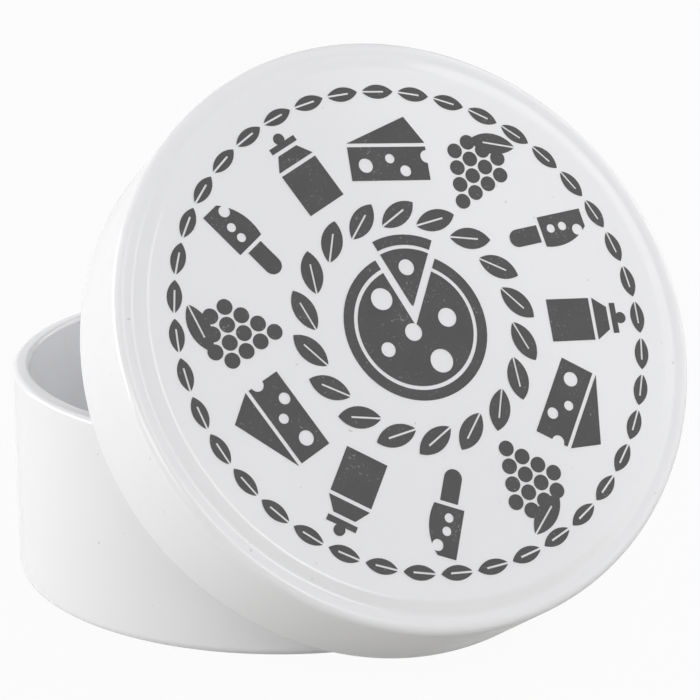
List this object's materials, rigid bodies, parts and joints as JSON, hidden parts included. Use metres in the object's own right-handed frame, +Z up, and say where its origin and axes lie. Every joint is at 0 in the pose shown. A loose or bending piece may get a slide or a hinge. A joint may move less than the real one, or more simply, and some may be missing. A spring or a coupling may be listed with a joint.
{
  "type": "round porcelain cheese box",
  "caption": "Round glazed porcelain cheese box with a straight wall and an over-fitting lid that leans on its rim, printed with plain cheese and leaf motifs.",
  "frame": {"origin": "centre of the box's foot, on the surface it stands on", "axes": "+Z up along the box's axis; the lid stands on its edge at -Y and leans back towards +Y on the rim; +X is to the right of someone who faces the lid"},
  "size_m": [0.1386, 0.1595, 0.1288],
  "materials": {
    "porcelain": "gloss white glaze",
    "print": "charcoal fired print, slightly worn"
  },
  "bodies": {
    "base": {"base": "porcelain"},
    "lid": {"lid": "porcelain", "lid_print": "print"}
  },
  "joints": [
    {"name": "lid_lift", "type": "slide", "parent": "base", "child": "lid", "axis": [0, -0.8415, 0.5402], "range_m": [0, 0.1]}
  ]
}
